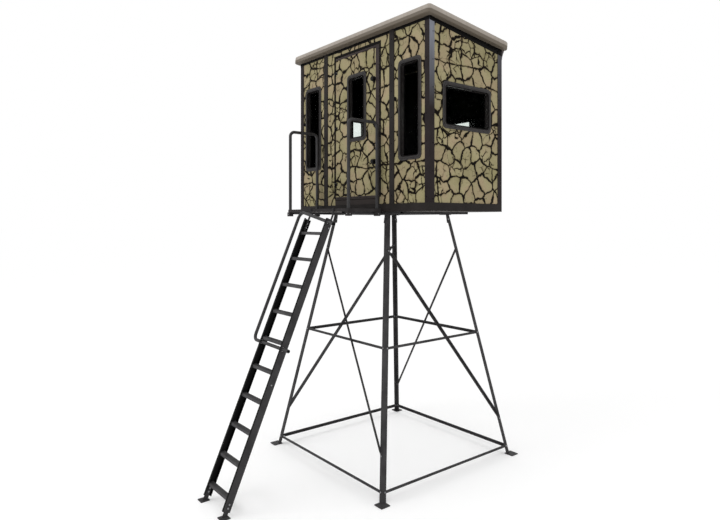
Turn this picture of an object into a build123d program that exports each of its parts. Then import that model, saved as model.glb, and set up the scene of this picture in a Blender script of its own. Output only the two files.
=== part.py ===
from build123d import *
import os
from math import atan, cos, sin, tan

os.makedirs("parts", exist_ok=True)

# A hard-sided hunting blind on a four-legged tower, with a porch, two grab rails and a ladder.
# Origin: centre of the tower's four feet on the ground. The door faces -Y, +Z is up. Millimetres.

# ---- driving dimensions: tower ----
DECK_Z = 3054  # top of the tower, where the cabin and the porch stand
BASE_HALF = 1060  # half the width over the legs at the ground
TOP_HALF = 520  # half the width over the legs at the deck
LEG_W, LEG_T = 50, 4  # leg angle
RING_W, RING_T = 30, 3  # ring rail angle
BRACE_W, BRACE_T = 30, 3  # brace angle
BRACE_LAP, BRACE_CUT = 18, 58  # length past the bolts, and how far short the standing flange ends
BASE_RING_Z, MID_RING_Z = 105, 1535
BRACE_TOP_Z, BRACE_LOW_Z = 2600, 450
FOOT_SIZE, FOOT_T, FOOT_OUT = 120, 8, 15  # foot plate, and how far its centre is outside the leg
ANCHOR_R, ANCHOR_OUT = 7, 40  # ground anchor hole, and its distance outside the leg's corner
BEAM_W, BEAM_H, BEAM_WALL = 50, 25, 2.5  # tubes of the deck frame
CLEAT_SIZE, CLEAT_T = 110, 6

# ---- driving dimensions: fasteners ----
BOLT_R, BOLT_HOLE_R = 5, 5.3
BOLT_HEAD_R, BOLT_HEAD_T = 9.5, 7

# ---- driving dimensions: porch and grab rails ----
PORCH_X0, PORCH_X1, PORCH_Y0 = -720, 546, -1115
PORCH_H, PORCH_BAND, BACK_BAND = 35, 45, 96  # the band along the cabin is wider
PLANK_T, PLANK_GAP, PLANKS = 20, 5, 3
GRAB_R, GRAB_WALL, GRAB_BEND = 19, 2, 60
GRAB_TOP_Z, GRAB_LOW_Z = 4080, 3012
SOCKET, SOCKET_H, SOCKET_PLAY = 55, 50, 0.4

# ---- driving dimensions: ladder ----
LADDER_X = 50  # centre line
LADDER_FOOT_Y, LADDER_TOP_Y = -2460, -1135  # centre plane at the ground and at DECK_Z
LADDER_HALF = 237  # half the width over the rails
RAIL_DEPTH, RAIL_FLANGE, RAIL_T = 80, 30, 3
RAIL_LOW_Z, RAIL_TOP_Z = 45, 2966
RUNGS, RUNG_LOW_Z, RUNG_STEP = 10, 157, 294
RUNG_D, RUNG_H, RUNG_WALL = 62, 32, 2
HANDRAIL_R, HANDRAIL_WALL, HANDRAIL_BEND = 19, 2, 70
HANDRAIL_OUT, HANDRAIL_END = 415, 350  # reach to the left and to the right of the centre line

# ---- driving dimensions: cabin ----
CABIN_X0, CABIN_X1 = -1175, 1320
CABIN_Y0, CABIN_Y1 = -630, 570
FRONT_H, BACK_H = 2060, 1908  # wall heights, for a roof that falls to the back
SILL_W, SILL_H, SILL_WALL = 60, 90, 3
FLOOR_T = 30
POST_W, POST_T = 73, 6
PANEL_T = 35
BATTEN_W, BATTEN_T, BATTEN_X = 85, 8, 645  # cover strips on the door wall, beside the door
DOOR_W, DOOR_LOW, DOOR_TOP, DOOR_GAP = 850, 177, 1952, 4
DOOR_TRIM_T, DOOR_STILE = 4, 60
KNOB_HEIGHTS, KNOB_IN = (590, 1560), 93  # above the cabin's base, and distance from the door's edge
ROOF_END, ROOF_FRONT, ROOF_BACK = 62, 75, 50  # overhangs
ROOF_H, ROOF_SKIN, ROOF_CORNER = 100, 8, 45

# ---- driving dimensions: windows ----
GASKET_W, GASKET_PROUD, GASKET_LIP, GASKET_R = 50, 8, 20, 55
TALL_WINDOW = (365, 1115)  # gasket's outer width and height
DOOR_WINDOW = (372, 825)
WIDE_WINDOW = (800, 510)
TALL_MID_H, DOOR_WINDOW_MID_H, WIDE_MID_H, BACK_MID_H = 1120, 1278, 1150, 920  # mid heights
TALL_EDGE = 309  # a tall window's middle, from the end of its wall
BACK_WINDOW_X, LEFT_WINDOW_Y = 525, 90  # middles of the windows in the back and the -X wall
SASH_LAP, SASH_T, SASH_RIM, SASH_PLAY = 22, 14, 30, 0.5
PANE_T, PANE_PLAY = 5, 0.2

# ---- driving dimensions: hinges ----
PIN_R, PIN_BORE_R, KNUCKLE_R = 2.5, 2.56, 6
KNUCKLE_HALF, HINGE_HALF = 20, 38  # half length of the middle knuckle and of the whole hinge
LEAF_W, LEAF_PLATE = 34, 2.5
AXIS_LIFT = 6.5  # hinge axis above the leaf's bedding face

# ---- derived ----
CABIN_CX = (CABIN_X0 + CABIN_X1) / 2
CABIN_CY = (CABIN_Y0 + CABIN_Y1) / 2
CABIN_L, CABIN_W = CABIN_X1 - CABIN_X0, CABIN_Y1 - CABIN_Y0
LEAN = atan((BASE_HALF - TOP_HALF) / DECK_Z)
LADDER_LEAN = atan((LADDER_TOP_Y - LADDER_FOOT_Y) / DECK_Z)
ROOF_PITCH = atan((FRONT_H - BACK_H) / CABIN_W)
HEAD_LOW_Z = DECK_Z - BEAM_H  # underside of the deck frame
LEG_TOP_Z = HEAD_LOW_Z - CLEAT_T
SKIN_Y0, SKIN_Y1 = CABIN_Y0 + POST_T, CABIN_Y1 - POST_T  # outer faces of the wall panels
SKIN_X0, SKIN_X1 = CABIN_X0 + POST_T, CABIN_X1 - POST_T
WALL_Z = DECK_Z + SILL_H  # foot of the wall panels

ROOF_PLANE = Plane(
    origin=(CABIN_CX, CABIN_Y0, DECK_Z + FRONT_H),
    x_dir=(1, 0, 0),
    z_dir=(0, sin(ROOF_PITCH), cos(ROOF_PITCH)),
)


def save(piece, label):
    """Label a finished sub-part and write its STEP."""
    piece.part.label = label
    export_step(piece.part, f"parts/{label}.step")


# ---- shared hardware, copied into the sub-parts ----
def hex_bolt(grip):
    """A bolt along Z with its nut: the head stands on z = 0 and the grip is below it."""
    with BuildPart() as bolt:
        with BuildSketch():
            RegularPolygon(BOLT_HEAD_R, 6)
        extrude(amount=BOLT_HEAD_T)
        with BuildSketch(Plane.XY.offset(-grip)):
            RegularPolygon(BOLT_HEAD_R, 6)
        extrude(amount=-BOLT_HEAD_T)
        with BuildSketch():
            Circle(BOLT_R)
        extrude(amount=-(grip + BOLT_HEAD_T + RING_T))
    return bolt.part


def hinge_fixed(rise):
    """Hinge half with the pin and the end knuckles, its axis along Z and its leaf towards +X.

    The leaf beds at y = -rise, and a block carries the knuckles up to the axis.
    """
    with BuildPart() as half:
        with BuildSketch(Plane.XY.offset(-HINGE_HALF)):
            Circle(KNUCKLE_R)
            with Locations((KNUCKLE_R, -rise / 2)):
                Rectangle(2 * KNUCKLE_R, rise)
            with Locations((LEAF_W / 2, LEAF_PLATE / 2 - rise)):
                Rectangle(LEAF_W, LEAF_PLATE)
        extrude(amount=HINGE_HALF - KNUCKLE_HALF)
        mirror(about=Plane.XY)
        with BuildSketch(Plane.XY.offset(-HINGE_HALF)):
            with Locations(((LEAF_W + KNUCKLE_R) / 2 + 1, LEAF_PLATE / 2 - rise)):
                Rectangle(LEAF_W - KNUCKLE_R - 2, LEAF_PLATE)
            Circle(PIN_R)
        extrude(amount=2 * HINGE_HALF)
    return half.part


def hinge_moving():
    """Hinge half with the middle knuckle, its leaf towards -X, bedded AXIS_LIFT below the axis."""
    knuckle_len = 2 * KNUCKLE_HALF - 0.6
    with BuildPart() as half:
        with BuildSketch(Plane.XY.offset(-knuckle_len / 2)):
            Circle(KNUCKLE_R)
            with Locations((-LEAF_W / 2, LEAF_PLATE / 2 - AXIS_LIFT)):
                Rectangle(LEAF_W, LEAF_PLATE)
            Circle(PIN_BORE_R, mode=Mode.SUBTRACT)
        extrude(amount=knuckle_len)
    return half.part


def leaning_plane(azimuth, reach, lean, out=0.0):
    """Plane that leans back from a line on the ground: X level, Y up the slope, Z outwards.

    azimuth 0 is the -Y side and 90 is the +X side; out moves the plane along its normal.
    """
    turn = Plane(origin=(0, 0, 0), z_dir=(0, 0, 1)).rotated((0, 0, azimuth))
    level = turn.x_dir
    away = -turn.y_dir
    normal = away * cos(lean) + Vector(0, 0, sin(lean))
    return Plane(origin=away * reach, x_dir=level, z_dir=normal).offset(out)


# ---- tower: each face is one leaning plane, numbered front, right, back, left ----
def face_plane(face, out=0.0):
    return leaning_plane(90 * face, BASE_HALF, LEAN, out)


def up_face(z):
    """Distance up the face for a height."""
    return z / cos(LEAN)


def half_width(z):
    """Half the tower's width over the legs at a height."""
    return BASE_HALF - (BASE_HALF - TOP_HALF) * z / DECK_Z


def face_bolts(face):
    """Places of the ring, brace and cleat bolts of one face, with the head outwards."""
    places = []
    for z in (BASE_RING_Z, MID_RING_Z):
        for side in (-1, 1):
            places.append((side * (half_width(z) - 30), up_face(z), 0))
    for z, side in ((BRACE_TOP_Z, -1), (BRACE_LOW_Z, 1)):
        places.append((side * (half_width(z) - 25), up_face(z), BRACE_T))
    places.append((half_width(LEG_TOP_Z) - 32, up_face(LEG_TOP_Z - 55), 0))
    return [face_plane(face).location * Location(place) for place in places]


def make_leg(face):
    """Angle leg on the corner after a face: one flange in that face, one in the next."""
    with BuildPart() as leg:
        for flange_face, side in ((face, 1), ((face + 1) % 4, -1)):
            with BuildSketch(face_plane(flange_face)):
                with BuildLine():
                    Polyline(
                        (side * half_width(0), 0),
                        (side * half_width(DECK_Z), up_face(DECK_Z)),
                        (side * (half_width(DECK_Z) - LEG_W), up_face(DECK_Z)),
                        (side * (half_width(0) - LEG_W), 0),
                        close=True,
                    )
                make_face()
            extrude(amount=-LEG_T)
        split(bisect_by=Plane.XY.offset(FOOT_T), keep=Keep.TOP)
        split(bisect_by=Plane.XY.offset(LEG_TOP_Z), keep=Keep.BOTTOM)
        with Locations(*face_bolts(face), *face_bolts((face + 1) % 4)):
            Cylinder(BOLT_HOLE_R, 8 * LEG_T, mode=Mode.SUBTRACT)
    return leg


def make_ring(z):
    """Four angle rails bolted inside the legs at one height."""
    with BuildPart() as ring:
        for face in range(4):
            inside = face_plane(face, -LEG_T)
            with BuildSketch(inside):
                with Locations((0, up_face(z))):
                    Rectangle(2 * (half_width(z) - 12), RING_W)
            extrude(amount=-RING_T)
            with BuildSketch(inside):
                with Locations((0, up_face(z) - (RING_W - RING_T) / 2)):
                    Rectangle(2 * (half_width(z) - 60), RING_T)
            extrude(amount=-RING_W)
            with Locations(*face_bolts(face)):
                Cylinder(BOLT_HOLE_R, 8 * LEG_T, mode=Mode.SUBTRACT)
    return ring


for face, corner in enumerate(("front_right", "back_right", "back_left", "front_left")):
    save(make_leg(face), f"leg_{corner}")
save(make_ring(BASE_RING_Z), "base_ring")
save(make_ring(MID_RING_Z), "mid_ring")

# One diagonal on each face, from high on the left leg to low on the right leg.
with BuildPart() as braces:
    for face in range(4):
        plane = face_plane(face)
        high = plane.from_local_coords((25 - half_width(BRACE_TOP_Z), up_face(BRACE_TOP_Z), 0))
        low = plane.from_local_coords((half_width(BRACE_LOW_Z) - 25, up_face(BRACE_LOW_Z), 0))
        along = Plane(origin=(high + low) / 2, x_dir=low - high, z_dir=plane.z_dir)
        brace_len = (low - high).length + 2 * BRACE_LAP
        with BuildSketch(along):
            Rectangle(brace_len, BRACE_W)
        extrude(amount=BRACE_T)
        with BuildSketch(along):
            with Locations((0, (BRACE_W - BRACE_T) / 2)):
                Rectangle(brace_len - 2 * BRACE_CUT, BRACE_T)
        extrude(amount=BRACE_W)
        with Locations(*face_bolts(face)):
            Cylinder(BOLT_HOLE_R, 8 * LEG_T, mode=Mode.SUBTRACT)
save(braces, "braces")

with BuildPart() as foot_plates:
    plate_at = 2 * (BASE_HALF + FOOT_OUT)
    anchor_at = 2 * (BASE_HALF + ANCHOR_OUT)
    with BuildSketch():
        with GridLocations(plate_at, plate_at, 2, 2):
            RectangleRounded(FOOT_SIZE, FOOT_SIZE, 8)
        with GridLocations(anchor_at, anchor_at, 2, 2):
            Circle(ANCHOR_R, mode=Mode.SUBTRACT)
    extrude(amount=FOOT_T)
save(foot_plates, "foot_plates")

# Cleats that carry the deck frame: a flat seat on each leg and a tab down the leg's inside.
with BuildPart() as leg_cleats:
    seat_at = 2 * (half_width(LEG_TOP_Z) - 35)
    with BuildSketch(Plane.XY.offset(LEG_TOP_Z)):
        with GridLocations(seat_at, seat_at, 2, 2):
            RectangleRounded(CLEAT_SIZE, CLEAT_SIZE, 5)
    extrude(amount=CLEAT_T)
    for face in range(4):
        with BuildSketch(face_plane(face, -LEG_T)):
            with Locations((half_width(LEG_TOP_Z) - 32, up_face(LEG_TOP_Z - 50))):
                Rectangle(36, up_face(100) - 1)
        extrude(amount=-5)
        with Locations(*face_bolts(face)):
            Cylinder(BOLT_HOLE_R, 8 * LEG_T, mode=Mode.SUBTRACT)
save(leg_cleats, "leg_cleats")

ring_bolt, brace_bolt = hex_bolt(LEG_T + RING_T), hex_bolt(LEG_T + BRACE_T)
cleat_bolt = hex_bolt(LEG_T + 5)
with BuildPart() as tower_bolts:
    for face in range(4):
        bolts = face_bolts(face)
        with Locations(*bolts[:4]):
            add(ring_bolt)
        with Locations(*bolts[4:6]):
            add(brace_bolt)
        with Locations(bolts[6]):
            add(cleat_bolt)
save(tower_bolts, "tower_bolts")


# ---- deck frame under the cabin, and the porch on it ----
def tube_ends(x_start, x_end, y_start, y_end):
    """Midpoint, plane and length of a level deck tube given by its outer edges in plan."""
    cx, cy = (x_start + x_end) / 2, (y_start + y_end) / 2
    mid_z = HEAD_LOW_Z + BEAM_H / 2
    if x_end - x_start > y_end - y_start:
        return Plane(origin=(x_start, cy, mid_z), x_dir=(0, 1, 0), z_dir=(1, 0, 0)), x_end - x_start
    return Plane(origin=(cx, y_start, mid_z), x_dir=(-1, 0, 0), z_dir=(0, 1, 0)), y_end - y_start


def make_tubes(outlines):
    """A group of level rectangular tubes, each given as x_start, x_end, y_start, y_end."""
    with BuildPart() as tubes:
        for outline in outlines:
            plane, length = tube_ends(*outline)
            with BuildSketch(plane):
                Rectangle(BEAM_W, BEAM_H)
                Rectangle(BEAM_W - 2 * BEAM_WALL, BEAM_H - 2 * BEAM_WALL, mode=Mode.SUBTRACT)
            extrude(amount=length)
    return tubes


FRAME_X0, FRAME_X1 = -720, 800
FRAME_Y = half_width(LEG_TOP_Z) + 20 + BEAM_W / 2  # outer edge of the deck frame, front and back
inner_y = FRAME_Y - BEAM_W
deck_beams = [(FRAME_X0, FRAME_X1, side * FRAME_Y - BEAM_W / 2 - side * BEAM_W / 2,
               side * FRAME_Y + BEAM_W / 2 - side * BEAM_W / 2) for side in (-1, 1)]
deck_beams += [(x, x + BEAM_W, -inner_y, inner_y) for x in (FRAME_X0, 15, FRAME_X1 - BEAM_W)]
save(make_tubes(deck_beams), "deck_frame")

porch_beams = [(x, x + BEAM_W, PORCH_Y0 + 2, -FRAME_Y) for x in (-625, 425)]
save(make_tubes(porch_beams), "porch_beams")

PORCH_Y1 = CABIN_Y0 - 2
GRAB_X = (PORCH_X0 + PORCH_BAND / 2, PORCH_X1 - PORCH_BAND / 2)
GRAB_Y = (PORCH_Y0 + PORCH_BAND / 2, PORCH_Y1 - BACK_BAND / 2)
grab_feet = [(x, y) for x in GRAB_X for y in GRAB_Y]

with BuildPart() as porch_frame:
    porch_cx = (PORCH_X0 + PORCH_X1) / 2
    porch_w = PORCH_X1 - PORCH_X0
    back_y0 = PORCH_Y1 - BACK_BAND
    side_y0 = PORCH_Y0 + PORCH_BAND
    with BuildSketch(Plane.XY.offset(DECK_Z)):
        with Locations((porch_cx, PORCH_Y0 + PORCH_BAND / 2)):
            Rectangle(porch_w, PORCH_BAND)
        with Locations((porch_cx, PORCH_Y1 - BACK_BAND / 2)):
            Rectangle(porch_w, BACK_BAND)
        with Locations(*[(x, (side_y0 + back_y0) / 2) for x in GRAB_X]):
            Rectangle(PORCH_BAND, back_y0 - side_y0)
        with Locations(*grab_feet):
            Circle(GRAB_R + SOCKET_PLAY, mode=Mode.SUBTRACT)
    extrude(amount=PORCH_H)
    fillet(porch_frame.edges().filter_by(Axis.Z).group_by(SortBy.LENGTH)[-1].filter_by(
        lambda edge: edge.geom_type == GeomType.LINE and edge.center().X in (PORCH_X0, PORCH_X1)
        and edge.center().Y < PORCH_Y0 + 1), 12)
save(porch_frame, "porch_frame")

with BuildPart() as porch_planks:
    plank_pitch = (back_y0 - side_y0) / PLANKS
    plank_x0, plank_x1 = PORCH_X0 + PORCH_BAND + 3, PORCH_X1 - PORCH_BAND - 3
    with BuildSketch(Plane.XY.offset(DECK_Z)):
        with Locations((porch_cx, (side_y0 + back_y0) / 2)):
            with GridLocations(0, plank_pitch, 1, PLANKS):
                Rectangle(plank_x1 - plank_x0, plank_pitch - PLANK_GAP)
    extrude(amount=PLANK_T)
save(porch_planks, "porch_planks")

with BuildPart() as rail_sockets:
    with BuildSketch(Plane.XY.offset(DECK_Z - SOCKET_H)):
        with Locations(*grab_feet):
            Rectangle(SOCKET, SOCKET)
            Circle(GRAB_R + SOCKET_PLAY, mode=Mode.SUBTRACT)
    extrude(amount=SOCKET_H)
save(rail_sockets, "rail_sockets")


def make_pipe(plane, points, bend, radius, wall):
    """A bent round tube along straight runs in one plane, with the same radius at each corner."""
    with BuildPart() as pipe:
        with BuildLine(plane) as path:
            FilletPolyline(*points, radius=bend)
        start = path.line ^ 0
        with BuildSketch(start):
            Circle(radius)
            Circle(radius - wall, mode=Mode.SUBTRACT)
        sweep(path=path.line)
    return pipe


for name, grab_x in zip(("left", "right"), GRAB_X):
    side_plane = Plane(origin=(grab_x, 0, 0), x_dir=(0, 1, 0), z_dir=(1, 0, 0))
    hoop = [
        (GRAB_Y[0], GRAB_LOW_Z),
        (GRAB_Y[0], GRAB_TOP_Z),
        (GRAB_Y[1], GRAB_TOP_Z),
        (GRAB_Y[1], GRAB_LOW_Z),
    ]
    save(make_pipe(side_plane, hoop, GRAB_BEND, GRAB_R, GRAB_WALL), f"grab_rail_{name}")

# ---- ladder: one leaning plane through the middle of its rails ----
LADDER = leaning_plane(0, -LADDER_FOOT_Y, LADDER_LEAN)
LADDER = Plane(origin=LADDER.origin + Vector(LADDER_X, 0, 0), x_dir=(1, 0, 0), z_dir=LADDER.z_dir)
RAIL_WEB_X = LADDER_HALF - RAIL_T  # inner face of a rail's web, from the ladder's centre line
rung_heights = [RUNG_LOW_Z + RUNG_STEP * i for i in range(RUNGS)]


def ladder_y(z):
    """Y of the ladder's centre plane at a height."""
    return LADDER_FOOT_Y + z * tan(LADDER_LEAN)


def along_ladder(z, out=0.0):
    """Distance up the ladder's plane for a height, for a point that far outside the plane."""
    return (z - out * sin(LADDER_LEAN)) / cos(LADDER_LEAN)


def ladder_yz(z, out):
    """(y, z) of a point near the ladder: up the centre plane to z, then out along its normal."""
    return (ladder_y(z) - out * cos(LADDER_LEAN), z + out * sin(LADDER_LEAN))


# The handrail is one tube: both ends pass through the rails and the long run is on the left.
HANDRAIL_LIFT = 14  # its plane is this far outside the rails' middle
top_end_z, top_corner_z = 2915, 3060
low_corner_z, low_end_z = rung_heights[5] - 40, rung_heights[5] - 50


def crossing_z(corner_z, end_z, x):
    """Height of a handrail crossing at a distance from the ladder's centre line."""
    share = (x + HANDRAIL_OUT) / (HANDRAIL_OUT + HANDRAIL_END)
    return corner_z + (end_z - corner_z) * share


handrail_route = [
    (x, along_ladder(z, HANDRAIL_LIFT))
    for x, z in (
        (HANDRAIL_END, top_end_z),
        (-HANDRAIL_OUT, top_corner_z),
        (-HANDRAIL_OUT, low_corner_z),
        (HANDRAIL_END, low_end_z),
    )
]
handrail = make_pipe(
    LADDER.offset(HANDRAIL_LIFT), handrail_route, HANDRAIL_BEND, HANDRAIL_R, HANDRAIL_WALL
)
save(handrail, "ladder_handrail")

FOOT_BOLT_Z, HOOK_BOLT_Z, HOOK_OUT = (82, 116), (2872, 2918), -19
side_bolts = [(z, 0) for z in FOOT_BOLT_Z] + [(z, HOOK_OUT) for z in HOOK_BOLT_Z]


def side_location(side, z, out=0.0):
    """Place on a rail's outer face, with local Z pointing away from the ladder."""
    y, height = ladder_yz(z, out)
    plane = Plane(
        origin=(LADDER_X + side * LADDER_HALF, y, height), x_dir=(0, 1, 0), z_dir=(side, 0, 0)
    )
    return plane.location


def make_ladder_rail(side):
    """Channel rail, open towards the rungs, with its bolt holes and the handrail's passages."""
    bottom = LADDER.from_local_coords((0, along_ladder(RAIL_LOW_Z), 0))
    crossings = [crossing_z(low_corner_z, low_end_z, side * LADDER_HALF)]
    if side > 0:
        crossings.append(crossing_z(top_corner_z, top_end_z, LADDER_HALF))
    with BuildPart() as rail:
        with BuildSketch(Plane(origin=bottom, x_dir=(1, 0, 0), z_dir=LADDER.y_dir)):
            with Locations((side * (LADDER_HALF - RAIL_FLANGE / 2), 0)):
                Rectangle(RAIL_FLANGE, RAIL_DEPTH)
            with Locations((side * (LADDER_HALF - RAIL_FLANGE / 2 - RAIL_T), 0)):
                Rectangle(RAIL_FLANGE, RAIL_DEPTH - 2 * RAIL_T, mode=Mode.SUBTRACT)
        extrude(amount=along_ladder(RAIL_TOP_Z) - along_ladder(RAIL_LOW_Z))
        with Locations(*[side_location(side, z, out) for z, out in side_bolts]):
            Cylinder(BOLT_HOLE_R, 8 * RAIL_T, mode=Mode.SUBTRACT)
        for z in crossings:
            up = along_ladder(z, HANDRAIL_LIFT)
            centre = LADDER.from_local_coords((side * LADDER_HALF, up, HANDRAIL_LIFT))
            with Locations(Plane(origin=centre, x_dir=(0, 1, 0), z_dir=(side, 0, 0)).location):
                Cylinder(HANDRAIL_R + 1.5, 8 * RAIL_T, mode=Mode.SUBTRACT)
    return rail


save(make_ladder_rail(-1), "ladder_rail_left")
save(make_ladder_rail(1), "ladder_rail_right")

# Level box-section treads with ribbed tops, ending on the webs of the rails.
with BuildPart() as ladder_rungs:
    for z in rung_heights:
        end = (LADDER_X - RAIL_WEB_X + 0.5, ladder_y(z), z)
        with BuildSketch(Plane(origin=end, x_dir=(0, 1, 0), z_dir=(1, 0, 0))):
            RectangleRounded(RUNG_D, RUNG_H, 4)
            with Locations((0, RUNG_H / 2)):
                with GridLocations(11, 0, 5, 1):
                    Rectangle(4, 4)
            Rectangle(RUNG_D - 2 * RUNG_WALL, RUNG_H - 2 * RUNG_WALL - 2, mode=Mode.SUBTRACT)
        extrude(amount=2 * RAIL_WEB_X - 1)
save(ladder_rungs, "ladder_rungs")

LADDER_FOOT, TAB_T, STAKE_R = 100, 6, 6
TAB_TOP_Z = RUNG_LOW_Z - RUNG_H / 2 - 4
tab_outline = [
    (ladder_y(0) - 30, FOOT_T - 2),
    (ladder_y(0) + 30, FOOT_T - 2),
    (ladder_y(TAB_TOP_Z) + 21, TAB_TOP_Z),
    (ladder_y(TAB_TOP_Z) - 21, TAB_TOP_Z),
]
with BuildPart() as ladder_feet:
    for side in (-1, 1):
        foot_x = LADDER_X + side * (LADDER_HALF + 5)
        with BuildSketch():
            with Locations((foot_x, ladder_y(0) - 10)):
                RectangleRounded(LADDER_FOOT, LADDER_FOOT, 8)
            with Locations((foot_x, ladder_y(0) - 42)):
                Circle(STAKE_R, mode=Mode.SUBTRACT)
        extrude(amount=FOOT_T - 2)
        tab_x = LADDER_X + side * RAIL_WEB_X
        with BuildSketch(Plane(origin=(tab_x, 0, 0), x_dir=(0, side, 0), z_dir=(side, 0, 0))):
            with BuildLine():
                Polyline(*[(side * y, z) for y, z in tab_outline], close=True)
            make_face()
        extrude(amount=-TAB_T)
        with Locations(*[side_location(side, z) for z in FOOT_BOLT_Z]):
            Cylinder(BOLT_HOLE_R, 8 * RAIL_T, mode=Mode.SUBTRACT)
save(ladder_feet, "ladder_feet")

# Flat hooks, bolted inside the rails, that reach over the front edge of the porch.
HOOK_W, HOOK_LAP, HOOK_PLAY = 22, 40, 0.5  # width, reach over the porch, and play
band_face = PORCH_Y0 - HOOK_PLAY
band_top = DECK_Z + PORCH_H + HOOK_PLAY
inner_edge_z = DECK_Z - (LADDER_TOP_Y - HOOK_OUT * cos(LADDER_LEAN) + HOOK_W / 2 - band_face) \
    / tan(LADDER_LEAN)
hook_outline = [
    ladder_yz(2840, HOOK_OUT + HOOK_W / 2),
    ladder_yz(2840, HOOK_OUT - HOOK_W / 2),
    (band_face, inner_edge_z - 8),
    (band_face, band_top),
    (band_face + HOOK_LAP, band_top),
    (band_face + HOOK_LAP, band_top + 8),
    (band_face - HOOK_W, band_top + 8),
    (band_face - HOOK_W, inner_edge_z),
]
with BuildPart() as ladder_hooks:
    for side in (-1, 1):
        hook_x = LADDER_X + side * RAIL_WEB_X
        with BuildSketch(Plane(origin=(hook_x, 0, 0), x_dir=(0, side, 0), z_dir=(side, 0, 0))):
            with BuildLine():
                Polyline(*[(side * y, z) for y, z in hook_outline], close=True)
            make_face()
        extrude(amount=-TAB_T)
        with Locations(*[side_location(side, z, HOOK_OUT) for z in HOOK_BOLT_Z]):
            Cylinder(BOLT_HOLE_R, 8 * RAIL_T, mode=Mode.SUBTRACT)
save(ladder_hooks, "ladder_hooks")

ladder_bolt = hex_bolt(RAIL_T + TAB_T)
with BuildPart() as ladder_bolts:
    for side in (-1, 1):
        with Locations(*[side_location(side, z, out) for z, out in side_bolts]):
            add(ladder_bolt)
save(ladder_bolts, "ladder_bolts")

# ---- cabin shell ----
floor_x, floor_y = CABIN_L - 2 * SILL_W, CABIN_W - 2 * SILL_W

# Channel round the cabin's foot, open towards the floor panel that lies in it.
with BuildPart() as base_sill:
    with BuildSketch(Plane.XY.offset(DECK_Z)):
        with Locations((CABIN_CX, CABIN_CY)):
            Rectangle(CABIN_L, CABIN_W)
            Rectangle(floor_x, floor_y, mode=Mode.SUBTRACT)
    extrude(amount=SILL_H)
    with BuildSketch(Plane.XY.offset(DECK_Z + SILL_WALL)):
        with Locations((CABIN_CX, CABIN_CY)):
            Rectangle(CABIN_L - 2 * SILL_WALL, CABIN_W - 2 * SILL_WALL)
    extrude(amount=SILL_H - 2 * SILL_WALL, mode=Mode.SUBTRACT)
save(base_sill, "base_sill")

with BuildPart() as floor_panel:
    with BuildSketch(Plane.XY.offset(DECK_Z)):
        with Locations((CABIN_CX, CABIN_CY)):
            Rectangle(floor_x - 1, floor_y - 1)
    extrude(amount=FLOOR_T)
save(floor_panel, "floor_panel")

# Everything that stands in the walls is drawn too tall and cut off under the roof.
STAND_H = FRONT_H - SILL_H + 20

with BuildPart() as corner_posts:
    with BuildSketch(Plane.XY.offset(WALL_Z)):
        for x_side in (-1, 1):
            for y_side in (-1, 1):
                corner_x = CABIN_CX + x_side * CABIN_L / 2
                corner_y = CABIN_CY + y_side * CABIN_W / 2
                with Locations((corner_x - x_side * POST_W / 2, corner_y - y_side * POST_T / 2)):
                    Rectangle(POST_W, POST_T)
                with Locations((corner_x - x_side * POST_T / 2, corner_y - y_side * POST_W / 2)):
                    Rectangle(POST_T, POST_W)
    extrude(amount=STAND_H)
    split(bisect_by=ROOF_PLANE, keep=Keep.BOTTOM)
save(corner_posts, "corner_posts")

with BuildPart() as wall_battens:
    with BuildSketch(Plane.XY.offset(WALL_Z)):
        with Locations(*[(CABIN_CX + side * BATTEN_X, SKIN_Y0 - BATTEN_T / 2) for side in (-1, 1)]):
            Rectangle(BATTEN_W, BATTEN_T)
        with Locations((CABIN_CX, SKIN_Y1 + BATTEN_T / 2)):
            Rectangle(BATTEN_W, BATTEN_T)
    extrude(amount=STAND_H)
    chamfer(wall_battens.edges().filter_by(Axis.Z).filter_by(
        lambda edge: edge.center().Y < CABIN_Y0 or edge.center().Y > CABIN_Y1), 5)
    split(bisect_by=ROOF_PLANE, keep=Keep.BOTTOM)
save(wall_battens, "wall_battens")


# ---- windows: each has a wall plane, with Z outwards and its origin at the window's centre ----
def wall_plane(azimuth, along, z, skin):
    """Plane on a wall's outer skin. azimuth 0 is the door wall and 90 the +X wall."""
    turn = Plane(origin=(0, 0, 0), z_dir=(0, 0, 1)).rotated((0, 0, azimuth))
    level, away = turn.x_dir, -turn.y_dir
    return Plane(origin=level * along + away * skin + Vector(0, 0, z), x_dir=level, z_dir=away)


TALL_Z, DOOR_WINDOW_Z = DECK_Z + TALL_MID_H, DECK_Z + DOOR_WINDOW_MID_H
WIDE_Z, BACK_Z = DECK_Z + WIDE_MID_H, DECK_Z + BACK_MID_H
TALL_X = CABIN_L / 2 - TALL_EDGE  # centre of a tall window, from the cabin's centre line
windows = {  # name: wall plane, outer size, side of the hinge in the wall plane
    "front_left": (wall_plane(0, CABIN_CX - TALL_X, TALL_Z, -SKIN_Y0), TALL_WINDOW, 1),
    "front_right": (wall_plane(0, CABIN_CX + TALL_X, TALL_Z, -SKIN_Y0), TALL_WINDOW, -1),
    "door": (wall_plane(0, CABIN_CX, DOOR_WINDOW_Z, -SKIN_Y0), DOOR_WINDOW, -1),
    "side_right": (wall_plane(90, CABIN_CY, WIDE_Z, SKIN_X1), WIDE_WINDOW, -1),
    "back": (wall_plane(180, -BACK_WINDOW_X, BACK_Z, SKIN_Y1), WIDE_WINDOW, -1),
    "side_left": (wall_plane(270, -LEFT_WINDOW_Y, WIDE_Z, -SKIN_X0), WIDE_WINDOW, 1),
}
INSIDE = -PANEL_T - SASH_PLAY - SASH_T  # inner face of a closed sash, from the outer skin


def clear_size(window):
    """Width and height of the opening inside the gasket."""
    width, height = windows[window][1]
    return width - 2 * GASKET_W, height - 2 * GASKET_W


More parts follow.
